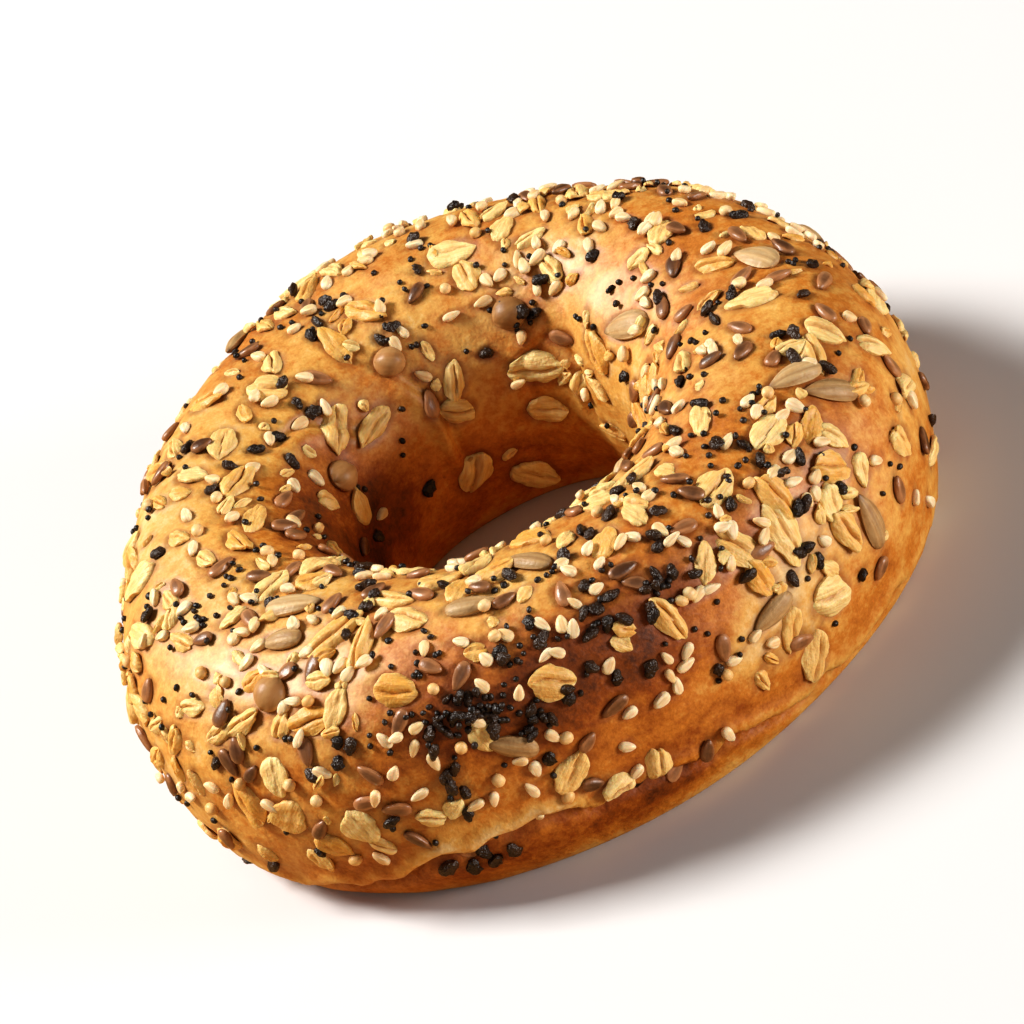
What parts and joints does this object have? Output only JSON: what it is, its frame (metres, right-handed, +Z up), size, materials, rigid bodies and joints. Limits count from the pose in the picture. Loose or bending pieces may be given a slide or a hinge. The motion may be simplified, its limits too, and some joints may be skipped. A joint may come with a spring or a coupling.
{
  "type": "seeded bagel",
  "caption": "Plump ring-shaped bread roll with a flat sole, a browned crust and a topping of oat flakes and mixed seeds.",
  "frame": {"origin": "middle of the bottom of the box, on the surface that the bagel lies on", "axes": "+Z up through the hole, +X towards the right end seen from the front, -Y towards the front"},
  "size_m": [0.1189, 0.1159, 0.0405],
  "materials": {
    "crust": "browned, egg-washed bread crust with a soft shine",
    "oat_flake": "dry, toasted rolled oat",
    "sunflower_kernel": "dry, grey-tan kernel",
    "pale_seed": "smooth toasted sesame and millet",
    "brown_seed": "glossy brown linseed",
    "black_seed": "matte black sesame and poppy seed"
  },
  "bodies": {
    "root": {"bagel": "crust"}
  },
  "joints": []
}
